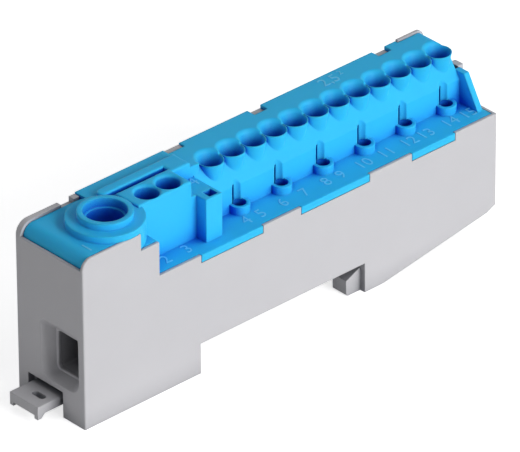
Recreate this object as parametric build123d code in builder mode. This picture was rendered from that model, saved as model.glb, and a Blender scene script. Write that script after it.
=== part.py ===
from build123d import *
import os
from math import cos, radians, sin

os.makedirs("parts", exist_ok=True)

# Neutral terminal block for a 35 mm top-hat rail.
# X runs along the body from the wire entry, Y along the rail towards the back, Z up.
# The origin lies on the underside, below the middle of the rail gap and at half the depth.
# Stations are measured from the entry end, from the front face and from the underside.

# Body
length = 89.2
width = 15.8
wall = 1.2
rim = 0.5
slip = 0.1
over = 1.0
corner_round = 0.25

# Rail seat: the leg, the gap for the rail and the two fixed hooks
leg_length = 24.5
rail_gap = 35.6
rail_depth = 5.5
rail_lip = 1.0
lip_play = 0.2
hook_reach = 3.1
hook_tip_height = 2.9
hook_inset = 1.1
hook_width = 3.2
hook_round = 0.6
slope_start = 3.8
slope_end = 1.9
slope_rise = 3.7
corner_rise = 0.9

# Heights: the ledge over the underside, then the top strip and what lies below or above it
ledge_height = 21.7
strip_height = 31.5
end_drop = 2.6
front_drop = 0.65
notch_drop = 3.7
rim_drop = 0.25
saddle_drop = 1.15
catch_drop = 0.6
far_rim_rise = 0.3

# Stations along the housing's rims
near_rim_end = 8.6
head_tab_start = 11.2
head_tab_length = 1.2
notch_start = 12.2
step_start = 16.0
strip_tab_start = 31.2
strip_tab_length = 3.2
catch_start = 49.3
far_catch_gap = 12.7
catch_length = 2.6
catch_depth = 1.6
flap_starts = (24.8, 46.2)
far_flap_gap = 18.8
flap_lengths = (13.3, 15.0, 9.7)
flap_drop = 1.4
far_rim_gap = 7.5
far_rim_length = 5.7
far_tab_height = 27.7
far_tab_start = 7.8
far_tab_width = 1.8
far_wall_height = 26.4
far_round = 1.3
gusset_width = 1.1
gusset_foot = 2.2
gusset_head = 5.5
gusset_drop = 4.0

# Wire entry and clamp
mouth_center = 5.75
mouth_width = 9.0
mouth_bottom = 5.6
mouth_height = 10.8
mouth_radius = 2.3
mouth_top_radius = 1.0
mouth_depth = 3.0
entry_depth = 6.2
entry_top = 17.0
entry_center = 6.0
entry_width = 5.2
entry_bottom = 6.8
entry_height = 6.8
entry_radius = 0.5
clamp_x = 10.5
clamp_y = 6.4
cage_length = 7.0
cage_inner_width = 6.0
cage_side = 0.9
cage_plate = 1.3
cage_top = 2.6
cage_inner_height = 9.5
cage_floor_gap = 0.3
cage_travel = 5.5
well_depth = 1.8
screw_radius = 2.5
thread_play = 0.05
head_radius = 3.3
head_height = 2.4
head_gap = 0.7
driver_slot_width = 1.0
driver_slot_depth = 1.3
cavity_floor = 6.8

# Rail foot
foot_front = 6.0
foot_width = 6.6
foot_bottom = 1.8
foot_thickness = 1.6
foot_overhang = 4.6
foot_catch = 1.9
foot_travel = 3.0
foot_slot_length = 2.7
foot_slot_width = 1.2
foot_slot_x = 1.9
foot_slot_shift = 0.6
foot_rib = 0.8
foot_grip = 0.7
foot_lip = 0.7
foot_window_length = 12.0
foot_window_width = 4.2
slot_side_gap = 0.8
slot_headroom = 1.3

# Funnels for the thin wires
poles = 12
first_pole = 35.3
last_pole_gap = 4.125
pole_y = 9.3
row_face = 6.5
row_rise = 4.5
row_slope_depth = 3.6
row_start = 31.4
row_margin = 2.1
funnel_rim_drop = 0.6
funnel_radius = 2.1
funnel_edge = 0.12
funnel_flare = 1.15
boss_height = 3.5
boss_foot_radius = 1.6
bore_radius = 1.35
bore_drop = 3.1
tube_wall = 0.5
tube_clearance = 0.3
skin = 1.2

# Release grooves, one for each pair of funnels
groove_shift = 3.2
groove_y = 6.1
groove_radius = 1.15
groove_ring = 0.6
groove_ring_height = 1.5
channel_radius = 0.95
channel_shift = 0.2
blade_slot_width = 0.8
blade_slot_height = 4.5
blade_slot_depth = 0.65

# Big port, collar and the block with the two larger holes
disc_radius = 6.4
disc_rise = 0.55
collar_radius = 4.5
collar_height = 1.15
collar_bore = 3.6
collar_step = 1.5
driver_bore = 3.1
head_play = 0.2
sleeve_wall = 1.3
edge_round = 0.5
brow_round = 0.35
block_face = 4.6
block_back = 10.0
block_end = 27.0
block_rise = 0.9
plate_start = 28.0
plate_drop = 2.0
post_face = 2.3
pocket_size = 1.7
pocket_inset = 0.5
pocket_depth = 1.4
pair_x = 19.75
pair_pitch = 4.5
pair_y = 7.0
pair_radius = 2.0
pair_flare = 0.5
pair_bore = 1.9
ridge_start = 14.9
ridge_front = 11.0
ridge_back = 12.95
ridge_end = 30.7
ridge_elbow = 8.95
groove_slot_start = 17.5
groove_slot_end = 25.0
groove_slot_depth = 1.3
strip_start = 12.5

# Contact bar and clip springs
bar_thickness = 1.0
bar_front_gap = 1.2
bar_back_gap = 1.4
bar_lip = 4.0
bar_start = 17.2
tongue_start = 6.7
tongue_neck = 15.2
tongue_thickness = 1.5
tongue_play = 0.2
tongue_lift = 0.4
spring_thickness = 0.35
spring_gap = 0.725
spring_bend = 1.6
spring_rise = 9.5
spring_angle = 49.0
touch = 0.05

# Frame: where the entry end and the front face lie from the origin
left = -(leg_length + rail_gap / 2)
front = -width / 2


def along(distance):
    """X of a station measured from the entry end."""
    return left + distance


def across(distance):
    """Y of a station measured from the front face."""
    return front + distance


def side_points(points):
    """Stations (from the end, height) as points of a side view sketch."""
    return [(along(x), z) for x, z in points]


def end_points(points):
    """Stations (from the front, height) as points of an end view sketch."""
    return [(across(y), z) for y, z in points]


def side_plane(y):
    """Sketch plane parallel to the front face; extrusions go towards the front."""
    return Plane.XZ.offset(-across(y))


def end_plane(x):
    """Sketch plane parallel to the entry end; extrusions go away from it."""
    return Plane.YZ.offset(along(x))


def block(x_span, y_span, z_span, mode=Mode.ADD):
    """Box between stations along, across and up."""
    size = [span[1] - span[0] for span in (x_span, y_span, z_span)]
    middle = [(span[0] + span[1]) / 2 for span in (x_span, y_span, z_span)]
    with Locations((along(middle[0]), across(middle[1]), middle[2])):
        Box(*size, mode=mode)


def post(radius, centres, z_span, mode=Mode.ADD, top_radius=None):
    """Upright cylinders, or cones where a top radius is given, at (from the end, from the front)."""
    height = z_span[1] - z_span[0]
    middle = (z_span[0] + z_span[1]) / 2
    with Locations(*[(along(x), across(y), middle) for x, y in centres]):
        if top_radius is None:
            Cylinder(radius, height, mode=mode)
        else:
            Cone(radius, top_radius, height, mode=mode)


# Stations and heights that follow from the sizes
leg_end = leg_length
hook_end = leg_length + rail_gap
hook_tip = hook_end - hook_reach
hook_root_height = rail_depth - rail_lip - lip_play
slope_foot = hook_end + slope_start
slope_top = length - slope_end
slope = slope_rise / (slope_top - slope_foot)
end_height = strip_height - end_drop
front_height = strip_height - front_drop
notch_height = strip_height - notch_drop
rim_top = strip_height - rim_drop
saddle_height = strip_height - saddle_drop
block_height = strip_height + block_rise
plate_height = strip_height - plate_drop
rim_height = strip_height - funnel_rim_drop
crease_height = ledge_height + row_rise
gusset_height = strip_height - gusset_drop
row_crown = row_face + row_slope_depth
floor_bottom = ledge_height - skin
cover_front = rim + slip
cover_end = length - rim - slip
inner_front = wall + slip
inner_back = width - wall - slip
inside_y = (wall, width - wall)
sky = block_height + 5 * over
pitch = (length - last_pole_gap - first_pole) / (poles - 1)
pole_xs = [first_pole + i * pitch for i in range(poles)]
pole_centres = [(x, pole_y) for x in pole_xs]
row_end = pole_xs[-1] + row_margin
pair_xs = [pair_x, pair_x + pair_pitch]
pair_centres = [(x, pair_y) for x in pair_xs]
groove_centres = [(x + groove_shift, groove_y) for x in pole_xs[::2]]
channel_centres = [(x - channel_shift, y) for x, y in groove_centres]
flap_spans = [(a, a + b) for a, b in zip([*flap_starts, length - far_flap_gap], flap_lengths)]
catch_spans = [(a, a + catch_length) for a in (catch_start, length - far_catch_gap)]
strip_tab = (strip_tab_start, strip_tab_start + strip_tab_length)
head_tab = (head_tab_start, head_tab_start + head_tab_length)
far_rim = (length - far_rim_gap, length - far_rim_gap + far_rim_length)
clamp_centre = [(clamp_x, clamp_y)]
cage_bottom = cavity_floor - well_depth + cage_floor_gap
cage_outer_width = cage_inner_width + 2 * cage_side
cage_span_x = (clamp_x - cage_length / 2, clamp_x + cage_length / 2)
cage_span_y = (clamp_y - cage_outer_width / 2, clamp_y + cage_outer_width / 2)
cage_height = cage_plate + cage_inner_height + cage_top
tongue_bottom = entry_bottom + entry_height + tongue_lift
tongue_top = tongue_bottom + tongue_thickness
head_bottom = cage_bottom + cage_height + cage_travel + head_gap
head_top = head_bottom + head_height
foot_top = foot_bottom + foot_thickness
foot_back = foot_front + foot_width
spring_width = min(pitch, pair_pitch) - spring_gap
bar_front = wall + bar_front_gap
bar_back = width - wall - bar_back_gap


def side_slab(top, back, depth):
    """Body in side view with a round shoulder up to a height, from a back station forwards."""
    with BuildPart() as slab:
        with BuildSketch(side_plane(back)):
            with BuildLine():
                outline = Polyline(
                    *side_points(
                        [
                            (0, end_height),
                            (0, 0),
                            (leg_end, 0),
                            (leg_end, rail_depth),
                            (hook_end, rail_depth),
                            (hook_end, 0),
                            (slope_foot, 0),
                            (slope_top, slope_rise),
                            (length, slope_rise + corner_rise),
                            (length, top),
                            (top - end_height, top),
                        ]
                    )
                )
                TangentArc(outline @ 1, outline @ 0, tangent=(-1, 0))
            make_face()
        extrude(amount=depth)
    return slab.part


front_slab = side_slab(front_height, width - wall, width - wall)
back_slab = side_slab(rim_top, width, wall)

# Housing: an open-topped moulded shell
with BuildPart() as housing:
    add([front_slab, back_slab])

    # two fixed hooks under the far lip of the rail
    for rib_back in (hook_inset + hook_width, width - hook_inset):
        with BuildSketch(side_plane(rib_back)) as hook:
            with BuildLine():
                Polyline(
                    *side_points(
                        [
                            (hook_tip, 0),
                            (hook_end + over, 0),
                            (hook_end + over, hook_root_height),
                            (hook_end, hook_root_height),
                            (hook_tip, hook_tip_height),
                        ]
                    ),
                    close=True,
                )
            make_face()
            fillet(hook.vertices().sort_by_distance((along(hook_tip), across(rib_back), 0))[0], hook_round)
        extrude(amount=hook_width)

    # chamber for the bar and springs, with the entry block left standing
    block((wall, length - wall), inside_y, (entry_top, sky), Mode.SUBTRACT)
    block((entry_depth, length - wall), inside_y, (cavity_floor, entry_top + over), Mode.SUBTRACT)

    # well under the clamp cage
    well_x = (cage_span_x[0] - 2 * cage_floor_gap, cage_span_x[1] + 2 * cage_floor_gap)
    well_y = (cage_span_y[0] - cage_floor_gap, cage_span_y[1] + cage_floor_gap)
    block(well_x, well_y, (cavity_floor - well_depth, cavity_floor + over), Mode.SUBTRACT)

    # hollows over the sloping underside, between the ribs that carry the bar
    rib_step = (slope_top - hook_end) / 4
    for k in range(4):
        start = hook_end + wall + k * rib_step
        end = hook_end + (k + 1) * rib_step - (wall if k == 3 else 0)
        floor = [wall + max(0, x - slope_foot) * slope for x in (start, end)]
        with BuildSketch(side_plane(width - wall)):
            with BuildLine():
                Polyline(
                    *side_points(
                        [
                            (start, floor[0]),
                            (end, floor[1]),
                            (end, cavity_floor + over),
                            (start, cavity_floor + over),
                        ]
                    ),
                    close=True,
                )
            make_face()
        extrude(amount=width - 2 * wall, mode=Mode.SUBTRACT)

    # stepped top of the front wall, with the seats of the three flaps
    outside_y = (-over, wall)
    block((notch_start, step_start), outside_y, (notch_height, sky), Mode.SUBTRACT)
    block((step_start, length + over), outside_y, (ledge_height, sky), Mode.SUBTRACT)
    for span in flap_spans:
        block(span, outside_y, (ledge_height - flap_drop, sky), Mode.SUBTRACT)

    # rebate that leaves a thin rim round the cover
    rebate_y = (rim, inner_front)
    block((rim, notch_start + rim), rebate_y, (front_height - skin - slip, sky), Mode.SUBTRACT)
    block((notch_start, step_start + rim), rebate_y, (notch_height - skin - slip, sky), Mode.SUBTRACT)
    block((step_start, length - rim), rebate_y, (floor_bottom - slip, sky), Mode.SUBTRACT)
    block((rim, inner_front), (rim, width - wall), (end_height - skin, sky), Mode.SUBTRACT)
    block((-over, inner_front), (rim, width - wall), (end_height, sky), Mode.SUBTRACT)

    # far end wall: low in front, a tab behind the gusset, higher at the back
    tab_back = far_tab_start + far_tab_width
    far_x = (length - wall - over, length + over)
    block(far_x, (-over, far_tab_start), (ledge_height, sky), Mode.SUBTRACT)
    block(far_x, (wall, tab_back), (far_tab_height, sky), Mode.SUBTRACT)
    block(far_x, (tab_back, width - wall), (far_wall_height, sky), Mode.SUBTRACT)
    block((far_rim[1], length + over), (tab_back, width + over), (far_tab_height, sky), Mode.SUBTRACT)
    gusset_y = (rim, row_face + skin + slip)
    block((length - wall - over, length - rim), gusset_y, (floor_bottom - slip, sky), Mode.SUBTRACT)

    # back wall drops under the cover's strip, with tabs, catches and the far rim left
    back_y = (width - wall, width)
    under_strip = (saddle_height, sky)
    block((near_rim_end, length + over), (width - wall, width + over), under_strip, Mode.SUBTRACT)
    block(head_tab, back_y, (saddle_height - over, rim_top))
    block(strip_tab, back_y, (saddle_height - over, rim_top))
    for span in catch_spans:
        block(span, back_y, (saddle_height - over, strip_height - catch_drop))
    far_rim_top = strip_height + far_rim_rise
    block(far_rim, (width - rim, width), (saddle_height - over, far_rim_top))
    cross_edges = housing.edges().filter_by(Axis.Y)
    far_corner = cross_edges.filter_by_position(Axis.Z, far_rim_top - slip, far_rim_top + slip)
    fillet(far_corner.sort_by(Axis.X)[-1], far_round)

    # wire entry: a tapered mouth and a square channel to the clamp
    mouth_middle = (across(mouth_center), mouth_bottom + mouth_height / 2)
    channel_middle = (across(entry_center), entry_bottom + entry_height / 2)
    with BuildSketch(end_plane(-slip)) as mouth:
        with Locations(mouth_middle):
            Rectangle(mouth_width, mouth_height)
        fillet(mouth.vertices().group_by(Axis.Y)[0], mouth_radius)
        fillet(mouth.vertices().group_by(Axis.Y)[-1], mouth_top_radius)
    with BuildSketch(end_plane(mouth_depth)):
        with Locations(channel_middle):
            RectangleRounded(entry_width, entry_height, entry_radius)
    loft(mode=Mode.SUBTRACT)
    with BuildSketch(end_plane(mouth_depth - slip)):
        with Locations(channel_middle):
            RectangleRounded(entry_width, entry_height, entry_radius)
    extrude(amount=entry_depth - mouth_depth + over, mode=Mode.SUBTRACT)

    # channel of the rail foot, open below between two lips
    foot_y = (foot_front - slip, foot_back + slip)
    slot_y = (foot_front - slot_side_gap, foot_back + slot_side_gap)
    block((-over, wall), slot_y, (-over, foot_top + slot_headroom), Mode.SUBTRACT)
    block((0, leg_end + over), foot_y, (foot_bottom - slip, foot_top + slip), Mode.SUBTRACT)
    lip_y = (foot_y[0] + foot_lip, foot_y[1] - foot_lip)
    block((0, leg_end + over), lip_y, (-over, foot_top), Mode.SUBTRACT)
    relief_x = (leg_end - 1.5 * foot_travel, leg_end + over)
    block(relief_x, foot_y, (foot_bottom, hook_root_height + slip), Mode.SUBTRACT)

    upright = housing.edges().filter_by(Axis.Z).filter_by_position(Axis.X, left - slip, left + slip)
    fillet([e for e in upright if abs(abs(e.center().Y) - width / 2) < slip], corner_round)

housing.part.label = "housing"
export_step(housing.part, "parts/housing.step")


def trumpet(bore, neck, flare, bottom, neck_start, neck_end, top):
    """Cutter for a wire hole: a straight bore, a tapered neck and a rounded flare at the top."""
    with BuildPart() as cutter:
        with BuildSketch(Plane.XZ):
            with BuildLine():
                Polyline((0, bottom), (bore, bottom), (bore, neck_start), (neck, neck_end))
                lean = (neck - bore, neck_end - neck_start)
                TangentArc((neck, neck_end), (flare, top), tangent=lean)
                Polyline((flare, top), (flare, top + over), (0, top + over), (0, bottom))
            make_face()
        revolve(axis=Axis.Z)
    return cutter.part


def row_prism(inset, top_drop, bottom, start, end):
    """Body under the row of funnels: upright face, sloping face and level top, set in by a wall."""
    with BuildPart() as prism:
        with BuildSketch(end_plane(start)):
            with BuildLine():
                Polyline(
                    *end_points(
                        [
                            (row_face + inset, bottom),
                            (row_face + inset, crease_height - inset / 2),
                            (row_crown + inset / 2, strip_height - top_drop),
                            (inner_back - inset, strip_height - top_drop),
                            (inner_back - inset, bottom),
                        ]
                    ),
                    close=True,
                )
            make_face()
        extrude(amount=end - start)
    return prism.part


# Hollow under the funnels, with a tube left standing round each wire hole
tube_bottom = ledge_height + tube_clearance
row_body = row_prism(0, 0, floor_bottom, row_start, row_end)
row_hollow = row_prism(skin, skin, floor_bottom - over, row_start + skin, row_end - skin)
with BuildPart() as under_row:
    add(row_hollow)
    neck_height = strip_height - bore_drop
    tube_radius = bore_radius + tube_wall
    post(tube_radius, pole_centres, (tube_bottom, neck_height), Mode.SUBTRACT)
    post(tube_radius, pole_centres, (neck_height, rim_height), Mode.SUBTRACT, funnel_radius + tube_wall)
with BuildPart() as under_pair:
    hollow_y = (block_face + skin, inner_back - skin)
    block((step_start + skin, row_start - skin), hollow_y, (floor_bottom - over, plate_height - skin))
    post(pair_bore + tube_wall, pair_centres, (tube_bottom, sky), Mode.SUBTRACT)
funnel = trumpet(
    bore_radius,
    funnel_radius,
    funnel_radius + funnel_flare,
    tube_bottom - over,
    strip_height - bore_drop,
    rim_height,
    strip_height,
)
pair_hole = trumpet(
    pair_bore,
    pair_radius,
    pair_radius + pair_flare,
    tube_bottom - over,
    block_height - bore_drop,
    block_height - pair_flare,
    block_height,
)


# Cover: the blue moulding with every port
with BuildPart() as cover:
    # ledge in front of the funnels, and the flaps that hook over the front wall
    ledge_y = (cover_front, row_face + skin)
    block((step_start + slip, cover_end), ledge_y, (floor_bottom, ledge_height))
    panel_y = (inner_front + slip, row_face + skin)
    block((step_start - skin, step_start + over), panel_y, (floor_bottom, ledge_height))
    for span in flap_spans:
        flap_x = (span[0] + slip, span[1] - slip)
        block(flap_x, (0, cover_front + over), (ledge_height - flap_drop + slip, ledge_height))

    # head over the clamp, rounded at the end like the housing
    with BuildSketch(side_plane(inner_back)):
        with BuildLine():
            shoulder = front_height - end_height
            head = Polyline(
                *side_points(
                    [
                        (cover_front, end_height),
                        (cover_front, end_height - skin + slip),
                        (inner_front + slip, end_height - skin + slip),
                        (inner_front + slip, head_bottom),
                        (notch_start, head_bottom),
                        (notch_start, front_height),
                        (cover_front + shoulder, front_height),
                    ]
                )
            )
            TangentArc(head @ 1, head @ 0, tangent=(-1, 0))
        make_face()
    extrude(amount=inner_back - inner_front - slip)
    block(
        (cover_front + shoulder, notch_start - slip),
        (cover_front, inner_front + over),
        (front_height - skin, front_height),
    )
    with BuildSketch(side_plane(inner_front + over)):
        with BuildLine():
            cheek = Polyline(
                *side_points(
                    [
                        (cover_front, end_height),
                        (cover_front + shoulder, end_height),
                        (cover_front + shoulder, front_height),
                    ]
                )
            )
            TangentArc(cheek @ 1, cheek @ 0, tangent=(-1, 0))
        make_face()
    extrude(amount=inner_front + over - cover_front)
    step_top = notch_height + slip
    step_y = (cover_front, block_face + over)
    block((notch_start - over, step_start), (block_face, inner_back), (head_bottom, front_height))
    block((notch_start + slip, step_start), step_y, (notch_height - skin, step_top))
    block((step_start - skin, step_start), (inner_front + slip, block_face + over), (floor_bottom, step_top))

    # body behind the pair of larger holes, the number plate and the marker post
    block((step_start - over, plate_start), (block_face, inner_back), (floor_bottom, plate_height))
    block((plate_start - over, row_start + skin), (ridge_elbow, inner_back), (floor_bottom, strip_height))
    block((step_start - over, block_end), (block_face, inner_back), (plate_height - over, strip_height))
    block((strip_start, step_start), (disc_radius, inner_back), (head_bottom, strip_height))
    block((plate_start - over, row_start), (block_face, ridge_elbow + over), (floor_bottom, plate_height))
    block((plate_start, row_start), (post_face, block_face + over), (floor_bottom, plate_height))

    # block and ridge that stand out of the top
    raised = (strip_height - over, block_height)
    ridge_middle = (ridge_front + ridge_back) / 2
    block((clamp_x + disc_radius - over, block_end), (block_face, block_back), raised)
    block((ridge_start, ridge_end), (ridge_front, ridge_back), raised)
    block((block_end - slip, ridge_end), (ridge_elbow, ridge_back), raised)
    post((ridge_back - ridge_front) / 2, [(ridge_start, ridge_middle)], raised)
    brow = cover.edges().filter_by_position(Axis.Z, block_height - slip, block_height + slip)
    fillet(brow, brow_round)

    # row of funnels: body, bosses and hollow
    add(row_body)
    behind_rim = (far_rim[0] - over, row_end)
    block(behind_rim, (inner_back - over, width - rim - slip), (saddle_height + slip, strip_height))
    far_edge = cover.edges().filter_by_position(Axis.X, along(row_end) - slip, along(row_end) + slip)
    far_edge = far_edge.filter_by(Axis.Y).group_by(Axis.Z)[-1]
    fillet(far_edge, far_round)
    boss_span = (rim_height - boss_height, rim_height)
    post(boss_foot_radius, pole_centres, boss_span, top_radius=funnel_radius + funnel_edge)
    add(under_row.part, mode=Mode.SUBTRACT)
    add(under_pair.part, mode=Mode.SUBTRACT)
    under_head = (head_bottom - over, front_height - skin)
    head_hollow_x = (inner_front + slip + skin, step_start - skin)
    block(head_hollow_x, (block_face + skin, inner_back - skin), under_head, Mode.SUBTRACT)

    # strip over the back wall, open at the tab and catches
    strip_x = (strip_start, far_rim[0] - slip)
    block(strip_x, (inner_back - over, width), (saddle_height + slip, strip_height))
    for span in [strip_tab] + catch_spans:
        depth = wall if span == strip_tab else catch_depth
        gap_x = (span[0] - slip, span[1] + slip)
        block(gap_x, (width - depth - slip, width + over), (saddle_height - over, sky), Mode.SUBTRACT)

    # collar of the big port, turned about the clamp screw
    disc_top = strip_height + disc_rise
    collar_top = disc_top + collar_height
    with BuildSketch(Plane.XZ.offset(-across(clamp_y))) as collar_profile:
        with BuildLine():
            Polyline(
                *side_points(
                    [
                        (clamp_x, step_top),
                        (clamp_x + disc_radius, step_top),
                        (clamp_x + disc_radius, disc_top),
                        (clamp_x + collar_radius, disc_top),
                        (clamp_x + collar_radius, collar_top),
                        (clamp_x, collar_top),
                    ]
                ),
                close=True,
            )
        make_face()
        outer = collar_profile.vertices().filter_by_position(Axis.X, along(clamp_x) + over, sky)
        fillet(outer.filter_by_position(Axis.Z, front_height, sky), edge_round)
    revolve(axis=Axis((along(clamp_x), across(clamp_y), 0), (0, 0, 1)))
    low_disc = (step_top - over, front_height)
    block((-over, notch_start + slip), (-over, cover_front), low_disc, Mode.SUBTRACT)
    block(
        (inner_front, notch_start + slip),
        (cover_front - over, inner_front + slip),
        (step_top - over, front_height - skin),
        Mode.SUBTRACT,
    )
    post(driver_bore + sleeve_wall, clamp_centre, (head_bottom, front_height))
    post(head_radius + head_play, clamp_centre, (head_bottom - over, head_top + slip), Mode.SUBTRACT)
    post(driver_bore, clamp_centre, (head_bottom, sky), Mode.SUBTRACT)
    post(collar_bore, clamp_centre, (collar_top - collar_step, sky), Mode.SUBTRACT)

    # wire holes
    with Locations(*[(along(x), across(y), 0) for x, y in pole_centres]):
        add(funnel, mode=Mode.SUBTRACT)
    with Locations(*[(along(x), across(y), 0) for x, y in pair_centres]):
        add(pair_hole, mode=Mode.SUBTRACT)

    # release grooves with a raised ring at the foot, and a slot for the blade
    ring_top = ledge_height + groove_ring_height
    post(groove_radius + groove_ring, groove_centres, (ledge_height - slip, ring_top))
    post(groove_radius, groove_centres, (floor_bottom - over, ring_top + slip), Mode.SUBTRACT)
    post(channel_radius, channel_centres, (floor_bottom, strip_height), Mode.SUBTRACT)
    for x, y in channel_centres:
        slot_x = (x - channel_radius, x - channel_radius + blade_slot_width)
        slot_y = (y, row_face + skin + blade_slot_depth - skin / 2)
        block(slot_x, slot_y, (floor_bottom - over, ledge_height + blade_slot_height), Mode.SUBTRACT)

    # groove behind the pair, and the pocket in the marker post
    slot_z = (strip_height - groove_slot_depth, sky)
    block((groove_slot_start, groove_slot_end), (block_back, ridge_front), slot_z, Mode.SUBTRACT)
    pocket_x = (row_start - pocket_inset - pocket_size, row_start - pocket_inset)
    pocket_y = (post_face + pocket_inset, post_face + pocket_inset + pocket_size)
    block(pocket_x, pocket_y, (plate_height - pocket_depth, sky), Mode.SUBTRACT)

    # gusset at the far end
    with BuildSketch(end_plane(row_end)):
        with BuildLine():
            Polyline(
                *end_points(
                    [
                        (row_face + skin, floor_bottom),
                        (gusset_foot, floor_bottom),
                        (gusset_foot, ledge_height),
                        (gusset_head, gusset_height),
                        (row_face + skin, gusset_height),
                    ]
                ),
                close=True,
            )
        make_face()
    extrude(amount=gusset_width)

cover.part.label = "cover"
export_step(cover.part, "parts/cover.step")


# Rail foot: a sliding plate with a tool slot outside and a catch under the rail's lip
with BuildPart() as rail_foot:
    foot_tail = foot_bottom - foot_grip
    catch_end = leg_end + foot_catch
    with BuildSketch(side_plane(foot_back)):
        with BuildLine():
            Polyline(
                *side_points(
                    [
                        (-foot_overhang, foot_tail),
                        (-foot_overhang + foot_rib, foot_tail),
                        (-foot_overhang + foot_rib + foot_grip, foot_bottom),
                        (catch_end, foot_bottom),
                        (catch_end, foot_top),
                        (leg_end + foot_catch / 2, hook_root_height),
                        (leg_end + slip, hook_root_height),
                        (leg_end - foot_travel / 4, foot_top),
                        (-foot_overhang, foot_top),
                    ]
                ),
                close=True,
            )
        make_face()
    extrude(amount=foot_width)
    # the end is arched between its two corners
    arch_y = (foot_front + foot_rib, foot_back - foot_rib)
    block((-foot_overhang - over, 0), arch_y, (foot_tail - over, foot_bottom - slip), Mode.SUBTRACT)
    # tool slot
    slot_y = foot_front + foot_width / 2 - foot_slot_shift
    with BuildSketch(Plane.XY.offset(foot_tail)):
        with Locations((along(-foot_slot_x), across(slot_y))):
            SlotOverall(foot_slot_length, foot_slot_width, rotation=90)
    extrude(amount=foot_thickness + foot_grip + over, mode=Mode.SUBTRACT)
    # window that leaves two thin spring legs along the sides
    window_x = (leg_end / 2 - foot_window_length / 2, leg_end / 2 + foot_window_length / 2)
    window_front = foot_front + (foot_width - foot_window_width) / 2
    window_y = (window_front, window_front + foot_window_width)
    block(window_x, window_y, (foot_bottom - over, foot_top + over), Mode.SUBTRACT)

rail_foot.part.label = "rail_foot"
export_step(rail_foot.part, "parts/rail_foot.step")


# Clamp cage: a steel box that the screw lifts against the bar
with BuildPart() as clamp_cage:
    block(cage_span_x, cage_span_y, (cage_bottom, cage_bottom + cage_height))
    inner_y = (cage_span_y[0] + cage_side, cage_span_y[1] - cage_side)
    inner_z = (cage_bottom + cage_plate, cage_bottom + cage_plate + cage_inner_height)
    block((cage_span_x[0] - over, cage_span_x[1] + over), inner_y, inner_z, Mode.SUBTRACT)
    outer_reach = cage_inner_width / 2 + cage_side / 2
    long_edges = clamp_cage.edges().filter_by(Axis.X)
    outer_edges = long_edges.filter_by(lambda e: abs(e.center().Y - across(clamp_y)) > outer_reach)
    fillet(outer_edges, cage_side * 0.8)
    tapped_z = (inner_z[1] - over, cage_bottom + cage_height + over)
    post(screw_radius + thread_play, clamp_centre, tapped_z, Mode.SUBTRACT)

clamp_cage.part.label = "clamp_cage"
export_step(clamp_cage.part, "parts/clamp_cage.step")


# Clamp screw: it turns in place, its tip on the bar's tongue
with BuildPart() as clamp_screw:
    post(screw_radius, clamp_centre, (tongue_top + touch, head_bottom + slip))
    post(head_radius, clamp_centre, (head_bottom, head_top))
    chamfer(clamp_screw.edges().filter_by(GeomType.CIRCLE).group_by(Axis.Z)[0], 0.5)
    chamfer(clamp_screw.edges().filter_by(GeomType.CIRCLE).group_by(Axis.Z)[-1], 0.3)
    slot_span = (clamp_x - driver_slot_width / 2, clamp_x + driver_slot_width / 2)
    head_y = (clamp_y - head_radius - over, clamp_y + head_radius + over)
    block(slot_span, head_y, (head_top - driver_slot_depth, head_top + over), Mode.SUBTRACT)

clamp_screw.part.label = "clamp_screw"
export_step(clamp_screw.part, "parts/clamp_screw.step")


# Contact bar: a folded channel under the springs, with a tongue through the clamp
bar_bottom = cavity_floor + touch
bar_inner = bar_bottom + bar_thickness
last_pole = pole_xs[-1]
bar_end = last_pole + spring_width / 2 + 4 * slip
with BuildPart() as contact_bar:
    with BuildSketch(end_plane(bar_start)):
        with BuildLine():
            Polyline(
                *end_points(
                    [
                        (bar_front, bar_bottom),
                        (bar_back, bar_bottom),
                        (bar_back, tongue_top),
                        (bar_back - bar_thickness, tongue_top),
                        (bar_back - bar_thickness, bar_inner),
                        (bar_front + bar_thickness, bar_inner),
                        (bar_front + bar_thickness, bar_bottom + bar_lip),
                        (bar_front, bar_bottom + bar_lip),
                    ]
                ),
                close=True,
            )
        make_face()
    extrude(amount=bar_end - bar_start)
    tongue_y = (clamp_y - cage_inner_width / 2 + tongue_play, clamp_y + cage_inner_width / 2 - tongue_play)
    tongue_z = (tongue_bottom, tongue_top)
    block((tongue_start, tongue_neck + over), tongue_y, tongue_z)
    block((tongue_neck, bar_start + slip), (tongue_y[0], bar_back), tongue_z)

contact_bar.part.label = "contact_bar"
export_step(contact_bar.part, "parts/contact_bar.step")


# Clip springs, one under each wire hole
leg_y = bar_front + bar_thickness + touch + spring_thickness / 2
leg_bottom = bar_inner + touch
bend_y = leg_y + spring_bend
bend_z = leg_bottom + spring_rise
turn = radians(90 - spring_angle)
leave = (bend_y + spring_bend * cos(turn), bend_z + spring_bend * sin(turn))
reach = (bar_back - bar_thickness - touch - spring_thickness - leave[0]) / cos(radians(spring_angle))
tip = (leave[0] + reach * cos(radians(spring_angle)), leave[1] - reach * sin(radians(spring_angle)))


def clip_spring(x):
    """Bent leaf spring: a standing leg, a loop and a leg that presses the wire on the bar."""
    with BuildPart() as spring:
        with BuildSketch(end_plane(x)):
            with BuildLine():
                corners = end_points([(leg_y, leg_bottom), (leg_y, bend_z), leave, tip])
                Line(corners[0], corners[1])
                TangentArc(corners[1], corners[2], tangent=(0, 1))
                Line(corners[2], corners[3])
            trace(line_width=spring_thickness)
        extrude(amount=spring_width / 2, both=True)
    return spring


hole_number = 2
for hole_x in pair_xs + pole_xs:
    clip = clip_spring(hole_x)
    name = f"clip_spring_{hole_number}"
    clip.part.label = name
    export_step(clip.part, f"parts/{name}.step")
    hole_number += 1
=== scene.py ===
import math

import bmesh
import bpy
from mathutils import Matrix, Vector


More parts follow.
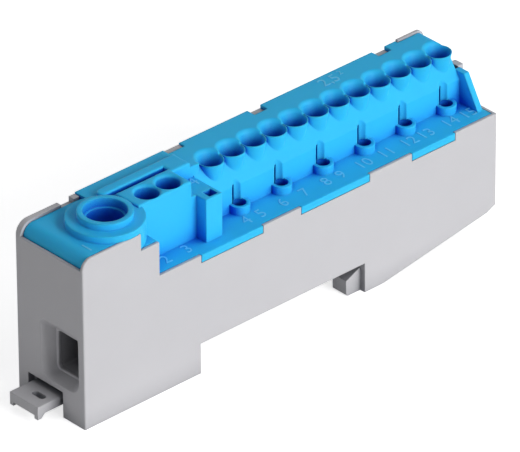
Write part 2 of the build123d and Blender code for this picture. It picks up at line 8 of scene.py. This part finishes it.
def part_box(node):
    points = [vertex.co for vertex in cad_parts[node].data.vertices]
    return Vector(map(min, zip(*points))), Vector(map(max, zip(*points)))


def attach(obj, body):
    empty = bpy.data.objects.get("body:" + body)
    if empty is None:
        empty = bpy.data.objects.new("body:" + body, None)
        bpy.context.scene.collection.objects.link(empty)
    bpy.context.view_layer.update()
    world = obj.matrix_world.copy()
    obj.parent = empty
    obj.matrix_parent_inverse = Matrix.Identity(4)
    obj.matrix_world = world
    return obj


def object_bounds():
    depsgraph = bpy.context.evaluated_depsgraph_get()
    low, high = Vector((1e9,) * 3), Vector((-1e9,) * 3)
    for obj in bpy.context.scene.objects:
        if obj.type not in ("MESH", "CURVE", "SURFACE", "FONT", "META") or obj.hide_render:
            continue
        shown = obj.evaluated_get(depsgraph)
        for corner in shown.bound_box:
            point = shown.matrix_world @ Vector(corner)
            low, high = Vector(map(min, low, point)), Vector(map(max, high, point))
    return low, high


bl_info = {
    "name": "Rail terminal block",
    "version": (1, 0, 0),
    "blender": (4, 5, 0),
    "location": "View3D > Sidebar > Terminal",
    "description": "Dresses a rail terminal block with finishes, a mouth frame, numbers and a studio stage",
    "category": "Object",
}

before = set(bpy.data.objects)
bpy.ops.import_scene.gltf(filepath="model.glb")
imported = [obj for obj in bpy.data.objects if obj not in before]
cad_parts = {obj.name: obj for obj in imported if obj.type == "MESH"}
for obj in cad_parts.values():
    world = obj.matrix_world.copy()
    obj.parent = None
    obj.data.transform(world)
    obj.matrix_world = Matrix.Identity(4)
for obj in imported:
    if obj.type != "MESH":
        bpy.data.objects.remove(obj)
cad_low, cad_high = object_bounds()
MM = 0.001
housing_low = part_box("housing")[0]
ENTRY_END = housing_low[0]
FRONT = housing_low[1]
SPRINGS = [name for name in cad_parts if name.startswith("clip_spring")]

# middle of each number on the cover's floor: from the entry end and from the front, in mm
FLOOR_NUMBERS = {
    "2": (19.9, 2.9),
    "3": (24.5, 3.0),
    "4": (37.2, 3.0),
    "5": (40.3, 3.0),
    "6": (45.1, 3.0),
    "7": (49.75, 3.0),
    "8": (54.5, 3.05),
    "9": (57.7, 3.05),
    "10": (62.75, 3.05),
    "11": (67.75, 3.05),
    "12": (72.75, 3.05),
    "13": (76.45, 3.05),
    "14": (81.9, 3.05),
    "15": (85.9, 3.05),
}
# heights of the cover's flat tops above the underside, in mm
FLOOR_HEIGHT = 21.7
STRIP_HEIGHT = 31.5
PLATE_HEIGHT = 29.5
HEAD_HEIGHT = 30.85

# the other marks: words, place from the entry end and the front, height of the top they stand on,
# and share of the number height
TOP_MARKS = {
    "number_1": ("1", (3.4, 2.6), HEAD_HEIGHT, 1.0),
    "size_4": ("4", (30.3, 7.8), PLATE_HEIGHT, 1.0),
    "size_2_5": ("2,5", (65.2, 13.8), STRIP_HEIGHT, 1.0),
    "size_square": ("2", (68.1, 14.5), STRIP_HEIGHT, 0.55),
}
# height of a digit over the font's size
DIGIT_SHARE = 0.73

# a distance too small to matter, in metres
SLACK = 0.0001

# inner end of the mouth from the entry end, and the middle of its channel, in mm
MOUTH_END = 3.0
CHANNEL_MIDDLE = (6.0, 10.2)

# fineness of the plastic's cloudiness and of the metal's draw marks
CLOUD_SCALE = 140.0
MARK_SCALE = 2200.0

# painted shade in recesses: how far a recess looks for walls in metres, and the openness where the full
# painted shade and the plain colour begin
RECESS_REACH = 0.008
FULL_SHADE_OPENNESS = 0.2
NO_SHADE_OPENNESS = 0.68

# painted shade: share of the colour that is left in the deepest recesses
GREY_RECESS_SHADE = (0.3, 0.31, 0.33)
BLUE_RECESS_SHADE = (0.04, 0.14, 0.62)
NUMBER_RECESS_SHADE = (0.6, 0.8, 0.9)

# how far light creeps under the plastic's skin: red, green and blue as shares of a length in metres
GLOW_SHARES = (0.3, 0.6, 1.0)
GLOW_LENGTH = 0.0012

# softness of the edges of metal and of the numbers, in metres
METAL_EDGE = 0.0001
NUMBER_EDGE = 0.00005
# how much softer the cover's edges are than the housing's
COVER_SOFTNESS = 1.8
# painted highlight: how much paler the tops of the numbers are than the cover, for the light caught by
# their raised edges
NUMBER_HIGHLIGHT = 0.10

# the photograph's camera: turn from +Y, dip and roll in radians, distance in metres, lens in mm
CAMERA_TURN = 0.741686544
CAMERA_DIP = 0.545216241
CAMERA_ROLL = 0.005995
CAMERA_DISTANCE = 1.30279
CAMERA_AIM = Vector((0.0027, 0.0001, 0.015))
FOCAL_LENGTH = 566.05
SENSOR_WIDTH = 36.0
PHOTO_WIDTH = 520
# moves of the camera that set the block where the photograph has it, in pixels
MOVE_LEFT = 1.6
MOVE_UP = 1.22

# what the lamps look at, and each lamp's share of the key light, size and place in metres
LAMP_AIM = Vector((0.0, 0.0, 0.015))
LAMPS = {
    "key_lamp": (1.0, 0.6, (0.10, -0.92, 0.38)),
    "sheen_lamp": (0.19, 0.45, (0.62, -0.44, 0.78)),
    "back_lamp": (0.2, 0.8, (-0.25, 0.95, 0.22)),
}
# half a side of the floor, in metres
FLOOR_REACH = 6.0


def place(x, y, z):
    """Point given from the entry end, the front face and the underside, in mm."""
    return Vector((ENTRY_END + x * MM, FRONT + y * MM, z * MM))


def length_setting(name, description, default, low, high):
    """A length that the user may change, given in mm."""
    return bpy.props.FloatProperty(
        name=name,
        description=description,
        subtype="DISTANCE",
        unit="LENGTH",
        default=default * MM,
        min=low * MM,
        max=high * MM,
    )


def colour_setting(name, description, default):
    """A colour that the user may change."""
    return bpy.props.FloatVectorProperty(
        name=name,
        description=description,
        subtype="COLOR",
        size=4,
        min=0.0,
        max=1.0,
        default=default,
    )


class TerminalFinish(bpy.types.PropertyGroup):
    grey: colour_setting("Grey moulding", "Colour of the housing and rail foot", (0.56, 0.555, 0.575, 1.0))
    blue: colour_setting("Blue moulding", "Colour of the cover with its funnels", (0.035, 0.535, 0.95, 1.0))
    steel: colour_setting("Plated steel", "Colour of the cage, screw and springs", (0.62, 0.62, 0.60, 1.0))
    copper: colour_setting("Contact bar", "Colour of the copper contact bar", (0.78, 0.42, 0.28, 1.0))
    grain: length_setting("Grain size", "Size of the plastic's fine texture", 0.25, low=0.05, high=2.0)
    edge: length_setting("Edge radius", "Softness of the moulded edges", 0.22, low=0.0, high=1.0)


class TerminalMouth(bpy.types.PropertyGroup):
    width: length_setting("Opening width", "Width of the hole inside the frame", 5.2, low=2.0, high=8.0)
    height: length_setting("Opening height", "Height of the hole inside the frame", 6.8, low=2.0, high=10.0)
    band: length_setting("Frame band", "Width of the band, mostly in the slopes", 1.35, low=0.5, high=2.0)
    depth: length_setting("Frame depth", "How far the frame stands forward", 0.8, low=0.3, high=2.0)
    corner: length_setting("Corner radius", "Radius of the opening's corners", 0.5, low=0.1, high=1.0)
    lip: length_setting("Lip radius", "Roundness of the frame's lip", 0.3, low=0.05, high=0.5)


class TerminalNumbers(bpy.types.PropertyGroup):
    height: length_setting("Number height", "Height of the raised pole numbers", 2.35, low=0.5, high=4.0)
    relief: length_setting("Relief", "How far the numbers stand out of the cover", 0.06, low=0.02, high=0.5)


class TerminalStage(bpy.types.PropertyGroup):
    floor: colour_setting("Floor", "Colour of the floor", (0.90, 0.90, 0.90, 1.0))
    room: colour_setting("Room colour", "Colour of the even light from all round", (0.96, 0.97, 1.0, 1.0))
    white: bpy.props.FloatProperty(
        name="White floor",
        description="Glow of the floor that is seen, mirrored or seen through, and lights nothing",
        default=0.7,
        min=0.0,
        max=1.0,
    )
    key: bpy.props.FloatProperty(
        name="Key light",
        description="Power of the large lamp in front",
        subtype="POWER",
        unit="POWER",
        default=7.5,
        min=0.0,
    )
    fill: bpy.props.FloatProperty(
        name="Room light",
        description="Strength of the even light from all round",
        default=0.195,
        min=0.0,
        max=2.0,
    )


def node_tree(name):
    """Makes a material and gives it with its shader and its node tree."""
    material = bpy.data.materials.new(name)
    material.use_nodes = True
    tree = material.node_tree
    shader = tree.nodes["Principled BSDF"]
    return material, shader, tree


def add_node(tree, kind, settings):
    """A new node with its inputs set by name."""
    node = tree.nodes.new(kind)
    for name, value in settings.items():
        node.inputs[name].default_value = value
    return node


def shades(tree, fac, colour, low, high):
    """A mix from a darker to a lighter shade of the colour."""
    mix = tree.nodes.new("ShaderNodeMix")
    mix.data_type = "RGBA"
    tree.links.new(fac, mix.inputs["Factor"])
    mix.inputs["A"].default_value = [c * low for c in colour[:3]] + [1.0]
    mix.inputs["B"].default_value = [min(1.0, c * high) for c in colour[:3]] + [1.0]
    return mix.outputs["Result"]


def roughen(tree, shader, height, low, high):
    """Roughness that follows the fine texture."""
    spread = add_node(tree, "ShaderNodeMapRange", {"To Min": low, "To Max": high})
    tree.links.new(height, spread.inputs["Value"])
    tree.links.new(spread.outputs["Result"], shader.inputs["Roughness"])


def soften(tree, shader, height, edge, samples, strength, relief):
    """Rounded edges under the relief of the fine texture."""
    soft = add_node(tree, "ShaderNodeBevel", {"Radius": edge})
    soft.samples = samples
    bump = add_node(tree, "ShaderNodeBump", {"Strength": strength, "Distance": relief})
    tree.links.new(height, bump.inputs["Height"])
    tree.links.new(soft.outputs["Normal"], bump.inputs["Normal"])
    tree.links.new(bump.outputs["Normal"], shader.inputs["Normal"])


def paint_recess_shade(tree, surface, colour, depth):
    """The surface's colour with painted shade: in recesses it darkens to the depth's share of it."""
    recess = add_node(tree, "ShaderNodeAmbientOcclusion", {"Distance": RECESS_REACH})
    recess.samples = 8
    limits = {"From Min": FULL_SHADE_OPENNESS, "From Max": NO_SHADE_OPENNESS}
    openness = add_node(tree, "ShaderNodeMapRange", limits)
    openness.interpolation_type = "SMOOTHSTEP"
    tree.links.new(recess.outputs["AO"], openness.inputs["Value"])
    mix = tree.nodes.new("ShaderNodeMix")
    mix.data_type = "RGBA"
    tree.links.new(openness.outputs["Result"], mix.inputs["Factor"])
    mix.inputs["A"].default_value = [c * d for c, d in zip(colour[:3], depth)] + [1.0]
    tree.links.new(surface, mix.inputs["B"])
    return mix.outputs["Result"]


def moulded_plastic(name, colour, depth, grain, edge, roughness, shade, glow=0.0, gloss=0.27):
    """Moulded plastic: fine grain, clouds of the shade's strength, painted shade in the recesses and soft
    edges.
    """
    material, shader, tree = node_tree(name)
    coords = tree.nodes.new("ShaderNodeTexCoord")
    cloud = add_node(tree, "ShaderNodeTexNoise", {"Scale": CLOUD_SCALE, "Detail": 3.0})
    tree.links.new(coords.outputs["Object"], cloud.inputs["Vector"])
    surface = shades(tree, cloud.outputs["Fac"], colour, low=1 - shade, high=1 + shade)
    # painted shade: the colour darkens in recesses
    tree.links.new(paint_recess_shade(tree, surface, colour, depth), shader.inputs["Base Color"])
    fineness = {"Scale": 1.0 / grain, "Detail": 4.0, "Roughness": 0.6}
    texture = add_node(tree, "ShaderNodeTexNoise", fineness)
    tree.links.new(coords.outputs["Object"], texture.inputs["Vector"])
    roughen(tree, shader, texture.outputs["Fac"], low=roughness - 0.05, high=roughness + 0.07)
    soften(tree, shader, texture.outputs["Fac"], edge, samples=6, strength=0.12, relief=0.00003)
    shader.inputs["IOR"].default_value = 1.5
    shader.inputs["Specular IOR Level"].default_value = gloss
    shader.inputs["Subsurface Weight"].default_value = glow
    shader.inputs["Subsurface Radius"].default_value = GLOW_SHARES
    shader.inputs["Subsurface Scale"].default_value = GLOW_LENGTH
    return material


def worked_metal(name, colour, roughness, streak):
    """Plated or rolled metal with fine draw marks along X, longer with a smaller streak."""
    material, shader, tree = node_tree(name)
    coords = tree.nodes.new("ShaderNodeTexCoord")
    stretch = add_node(tree, "ShaderNodeMapping", {"Scale": (streak, 1.0, 1.0)})
    tree.links.new(coords.outputs["Object"], stretch.inputs["Vector"])
    marks = add_node(tree, "ShaderNodeTexNoise", {"Scale": MARK_SCALE, "Detail": 5.0})
    tree.links.new(stretch.outputs["Vector"], marks.inputs["Vector"])
    surface = shades(tree, marks.outputs["Fac"], colour, low=0.8, high=1.1)
    tree.links.new(surface, shader.inputs["Base Color"])
    roughen(tree, shader, marks.outputs["Fac"], low=roughness - 0.08, high=roughness + 0.12)
    soften(tree, shader, marks.outputs["Fac"], METAL_EDGE, samples=4, strength=0.1, relief=0.00002)
    shader.inputs["Metallic"].default_value = 1.0
    return material


def paint(node, material):
    """Gives a CAD node its finish."""
    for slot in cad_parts[node].material_slots:
        slot.material = material


class TERMINAL_OT_housing_finish(bpy.types.Operator):
    """Grey plastic on the housing and the rail foot."""

    bl_idname = "terminal.housing_finish"
    bl_label = "Finish the grey mouldings"
    bl_options = {"REGISTER", "UNDO"}

    def execute(self, context):
        look = context.scene.terminal_finish
        # the grey gets painted shade in its recesses
        tone = (look.grey, GREY_RECESS_SHADE, look.grain, look.edge)
        shell = moulded_plastic("grey_moulding", *tone, roughness=0.5, shade=0.02)
        foot = moulded_plastic("grey_foot", *tone, roughness=0.42, shade=0.03)
        paint("housing", shell)
        paint("rail_foot", foot)
        return {"FINISHED"}


def borders_opening(edge, shape):
    """True for an edge round the opening of the flat frame, before it is turned into the mouth."""
    across = max(abs(vert.co.x) for vert in edge.verts)
    upright = max(abs(vert.co.y) for vert in edge.verts)
    return across < shape.width / 2 + SLACK and upright < shape.height / 2 + SLACK


def rise_of(edge):
    """How much the edge rises from the back of the frame to its front."""
    return edge.verts[0].co.z - edge.verts[1].co.z


def lies_in_front(edge, shape):
    """True for an edge on the front of the frame."""
    return all(vert.co.z > shape.depth / 2 for vert in edge.verts)


def round_edges(bm, edges, radius, segments):
    """Turns sharp edges into rounds of the radius."""
    bmesh.ops.bevel(
        bm, geom=edges, offset=radius, segments=segments, profile=0.5, affect="EDGES", material=-1
    )


class TERMINAL_OT_mouth_frame(bpy.types.Operator):
    """Raised lip round the inner end of the mouth for the thick wire."""

    bl_idname = "terminal.mouth_frame"
    bl_label = "Add the frame in the mouth"
    bl_options = {"REGISTER", "UNDO"}

    def execute(self, context):
        shape = context.scene.terminal_mouth
        bm = bmesh.new()
        bmesh.ops.create_grid(bm, x_segments=1, y_segments=1, size=0.5)
        # made flat with its front along +Z, then turned so that the front looks out of the mouth
        outer = (shape.width + 2 * shape.band, shape.height + 2 * shape.band, 1.0)
        bmesh.ops.scale(bm, vec=outer, verts=bm.verts)
        ring = bmesh.ops.inset_region(
            bm, faces=bm.faces[:], thickness=shape.band, use_even_offset=True, use_boundary=True
        )["faces"]
        bmesh.ops.delete(bm, geom=[face for face in bm.faces if face not in ring], context="FACES")
        grown = bmesh.ops.extrude_face_region(bm, geom=bm.faces[:])["geom"]
        front = [part for part in grown if isinstance(part, bmesh.types.BMVert)]
        bmesh.ops.translate(bm, vec=(0.0, 0.0, shape.depth), verts=front)
        corners = [edge for edge in bm.edges if borders_opening(edge, shape) and abs(rise_of(edge)) > SLACK]
        round_edges(bm, corners, shape.corner, segments=4)
        lip = [edge for edge in bm.edges if borders_opening(edge, shape) and lies_in_front(edge, shape)]
        round_edges(bm, lip, shape.lip, segments=3)
        turn = Matrix(((0.0, 0.0, -1.0), (1.0, 0.0, 0.0), (0.0, 1.0, 0.0))).to_4x4()
        seat = Matrix.Translation(place(MOUTH_END, *CHANNEL_MIDDLE))
        bmesh.ops.transform(bm, matrix=seat @ turn, verts=bm.verts)
        bmesh.ops.recalc_face_normals(bm, faces=bm.faces[:])
        if not bm.faces or any(not edge.is_manifold for edge in bm.edges):
            raise RuntimeError("the mouth's frame is not closed")
        mesh = bpy.data.meshes.new("mouth_frame")
        bm.to_mesh(mesh)
        bm.free()
        piece = bpy.data.objects.new("mouth_frame", mesh)
        context.scene.collection.objects.link(piece)
        mesh.materials.append(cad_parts["housing"].material_slots[0].material)
        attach(piece, "block")
        return {"FINISHED"}


class TERMINAL_OT_cover_finish(bpy.types.Operator):
    """Blue plastic on the cover with the funnels."""

    bl_idname = "terminal.cover_finish"
    bl_label = "Finish the blue cover"
    bl_options = {"REGISTER", "UNDO"}

    def execute(self, context):
        look = context.scene.terminal_finish
        # the blue gets painted shade in its recesses
        tone = (look.blue, BLUE_RECESS_SHADE, look.grain, look.edge * COVER_SOFTNESS)
        blue = moulded_plastic("blue_moulding", *tone, roughness=0.45, shade=0.03, glow=0.3, gloss=0.13)
        paint("cover", blue)
        return {"FINISHED"}


class TERMINAL_OT_metal_finish(bpy.types.Operator):
    """Plated steel on the clamp and springs, copper on the contact bar."""

    bl_idname = "terminal.metal_finish"
    bl_label = "Finish the metal parts"
    bl_options = {"REGISTER", "UNDO"}

    def execute(self, context):
        look = context.scene.terminal_finish
        steel = worked_metal("plated_steel", look.steel, roughness=0.32, streak=0.2)
        for node in ["clamp_cage", "clamp_screw"] + SPRINGS:
            paint(node, steel)
        copper = worked_metal("contact_copper", look.copper, roughness=0.3, streak=0.1)
        paint("contact_bar", copper)
        return {"FINISHED"}


def raised_text(words, size, relief, point, name, material):
    """Flat lettering that reads along X and stands out of the surface at that point."""
    curve = bpy.data.curves.new(name, "FONT")
    curve.body = words
    curve.size = size / DIGIT_SHARE
    curve.align_x = "CENTER"
    curve.align_y = "CENTER"
    curve.extrude = relief
    curve.resolution_u = 4
    holder = bpy.data.objects.new(name + "_curve", curve)
    mesh = bpy.data.meshes.new_from_object(holder)
    bpy.data.objects.remove(holder)
    bpy.data.curves.remove(curve)
    mesh.name = name
    mesh.transform(Matrix.Translation(point))
    piece = bpy.data.objects.new(name, mesh)
    bpy.context.scene.collection.objects.link(piece)
    mesh.materials.clear()
    mesh.materials.append(material)
    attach(piece, "block")


class TERMINAL_OT_numbers(bpy.types.Operator):
    """Pole numbers on the floor of the cover and the wire sizes on its top."""

    bl_idname = "terminal.numbers"
    bl_label = "Add the raised numbers"
    bl_options = {"REGISTER", "UNDO"}

    def execute(self, context):
        marks = context.scene.terminal_numbers
        look = context.scene.terminal_finish
        # painted highlight: the numbers are a paler copy of the cover's blue, with painted shade in their
        # recesses
        pale = [min(1.0, c + NUMBER_HIGHLIGHT) for c in look.blue[:3]]
        tone = (pale, NUMBER_RECESS_SHADE, look.grain, NUMBER_EDGE)
        blue = moulded_plastic("blue_numbers", *tone, roughness=0.5, shade=0.02)
        for words, (x, y) in FLOOR_NUMBERS.items():
            point = place(x, y, FLOOR_HEIGHT)
            raised_text(words, marks.height, marks.relief, point, "number_" + words, blue)
        for name, (words, (x, y), top, share) in TOP_MARKS.items():
            raised_text(words, marks.height * share, marks.relief, place(x, y, top), name, blue)
        return {"FINISHED"}


def area_lamp(name, power, size, location):
    """A large soft lamp that looks at the block."""
    light = bpy.data.lights.new(name, "AREA")
    light.shape = "DISK"
    light.size = size
    light.energy = power
    lamp = bpy.data.objects.new(name, light)
    spot = Vector(location)
    turn = (LAMP_AIM - spot).to_track_quat("-Z", "Y").to_matrix().to_4x4()
    lamp.matrix_world = Matrix.Translation(spot) @ turn
    bpy.context.scene.collection.objects.link(lamp)


def seen_rays(tree):
    """1 for the rays of the camera, of gloss and of clear materials, 0 for the rest."""
    path = tree.nodes.new("ShaderNodeLightPath")
    value = path.outputs["Is Camera Ray"]
    for kind in ("Is Glossy Ray", "Is Transmission Ray"):
        either = tree.nodes.new("ShaderNodeMath")
        either.operation = "MAXIMUM"
        tree.links.new(value, either.inputs[0])
        tree.links.new(path.outputs[kind], either.inputs[1])
        value = either.outputs["Value"]
    return value


def set_camera(scene):
    """The camera at the photograph's viewing angle."""
    flat = math.cos(CAMERA_DIP)
    sight = Vector((math.sin(CAMERA_TURN) * flat, math.cos(CAMERA_TURN) * flat, -math.sin(CAMERA_DIP)))
    level = Vector((math.cos(CAMERA_TURN), -math.sin(CAMERA_TURN), 0.0))
    upward = level.cross(sight)
    side = level * math.cos(CAMERA_ROLL) - upward * math.sin(CAMERA_ROLL)
    top = level * math.sin(CAMERA_ROLL) + upward * math.cos(CAMERA_ROLL)
    pixel = SENSOR_WIDTH / PHOTO_WIDTH * CAMERA_DISTANCE / FOCAL_LENGTH
    data = bpy.data.cameras.new("camera")
    data.sensor_width = SENSOR_WIDTH
    data.lens = FOCAL_LENGTH
    data.clip_end = 20.0
    camera = bpy.data.objects.new("camera", data)
    pose = Matrix((side, top, -sight)).transposed().to_4x4()
    shift = top * MOVE_UP * pixel - side * MOVE_LEFT * pixel
    pose.translation = CAMERA_AIM - sight * CAMERA_DISTANCE + shift
    camera.matrix_world = pose
    scene.collection.objects.link(camera)
    scene.camera = camera


def set_floor(scene, look):
    """A pale floor that shows white and keeps the block's shadow."""
    mesh = bpy.data.meshes.new("floor")
    bm = bmesh.new()
    bmesh.ops.create_grid(bm, x_segments=1, y_segments=1, size=FLOOR_REACH)
    bm.to_mesh(mesh)
    bm.free()
    floor = bpy.data.objects.new("floor", mesh)
    mesh.transform(Matrix.Translation((0.0, 0.0, cad_low[2])))
    scene.collection.objects.link(floor)
    material, shader, tree = node_tree("floor")
    shader.inputs["Base Color"].default_value = look.floor
    shader.inputs["Roughness"].default_value = 0.9
    shader.inputs["Specular IOR Level"].default_value = 0.1
    shader.inputs["Emission Color"].default_value = (1.0, 1.0, 1.0, 1.0)
    lift = tree.nodes.new("ShaderNodeMath")
    lift.operation = "MULTIPLY"
    lift.inputs[1].default_value = look.white
    tree.links.new(seen_rays(tree), lift.inputs[0])
    tree.links.new(lift.outputs["Value"], shader.inputs["Emission Strength"])
    mesh.materials.append(material)


def set_room(scene, look):
    """Even light from all round, in front of a background that is seen as white."""
    world = bpy.data.worlds.new("room")
    scene.world = world
    world.use_nodes = True
    tree = world.node_tree
    room = tree.nodes["Background"]
    room.inputs["Color"].default_value = look.room
    strength = add_node(tree, "ShaderNodeMapRange", {"To Min": look.fill, "To Max": 1.0})
    tree.links.new(seen_rays(tree), strength.inputs["Value"])
    tree.links.new(strength.outputs["Result"], room.inputs["Strength"])


class TERMINAL_OT_stage(bpy.types.Operator):
    """Camera, floor, lamps and room light."""

    bl_idname = "terminal.stage"
    bl_label = "Set the stage"
    bl_options = {"REGISTER", "UNDO"}

    def execute(self, context):
        scene = context.scene
        look = scene.terminal_stage
        set_camera(scene)
        set_floor(scene, look)
        set_room(scene, look)
        for name, (share, size, location) in LAMPS.items():
            area_lamp(name, look.key * share, size, location)
        scene.view_settings.view_transform = "Standard"
        return {"FINISHED"}


class TERMINAL_PT_panel(bpy.types.Panel):
    """Sizes, colours and the buttons that make each piece."""

    bl_idname = "TERMINAL_PT_panel"
    bl_label = "Terminal block"
    bl_space_type = "VIEW_3D"
    bl_region_type = "UI"
    bl_category = "Terminal"

    def draw(self, context):
        layout = self.layout
        scene = context.scene
        groups = (scene.terminal_finish, scene.terminal_mouth, scene.terminal_numbers, scene.terminal_stage)
        for group in groups:
            box = layout.box()
            for name in group.bl_rna.properties.keys():
                if name not in {"rna_type", "name"}:
                    box.prop(group, name)
        for operator in OPERATORS:
            layout.operator(operator.bl_idname)


GROUPS = (TerminalFinish, TerminalMouth, TerminalNumbers, TerminalStage)
OPERATORS = (
    TERMINAL_OT_stage,
    TERMINAL_OT_housing_finish,
    TERMINAL_OT_mouth_frame,
    TERMINAL_OT_cover_finish,
    TERMINAL_OT_metal_finish,
    TERMINAL_OT_numbers,
)


def register():
    """Adds the settings, the operators and the panel."""
    for item in GROUPS + OPERATORS + (TERMINAL_PT_panel,):
        bpy.utils.register_class(item)
    bpy.types.Scene.terminal_finish = bpy.props.PointerProperty(type=TerminalFinish)
    bpy.types.Scene.terminal_mouth = bpy.props.PointerProperty(type=TerminalMouth)
    bpy.types.Scene.terminal_numbers = bpy.props.PointerProperty(type=TerminalNumbers)
    bpy.types.Scene.terminal_stage = bpy.props.PointerProperty(type=TerminalStage)


def unregister():
    """Takes them out again."""
    del bpy.types.Scene.terminal_stage
    del bpy.types.Scene.terminal_numbers
    del bpy.types.Scene.terminal_mouth
    del bpy.types.Scene.terminal_finish
    for item in reversed(GROUPS + OPERATORS + (TERMINAL_PT_panel,)):
        bpy.utils.unregister_class(item)


def main():
    """Makes the whole scene."""
    register()
    bpy.ops.terminal.stage()
    bpy.ops.terminal.housing_finish()
    bpy.ops.terminal.mouth_frame()
    bpy.ops.terminal.cover_finish()
    bpy.ops.terminal.metal_finish()
    bpy.ops.terminal.numbers()


if __name__ == "__main__":
    main()
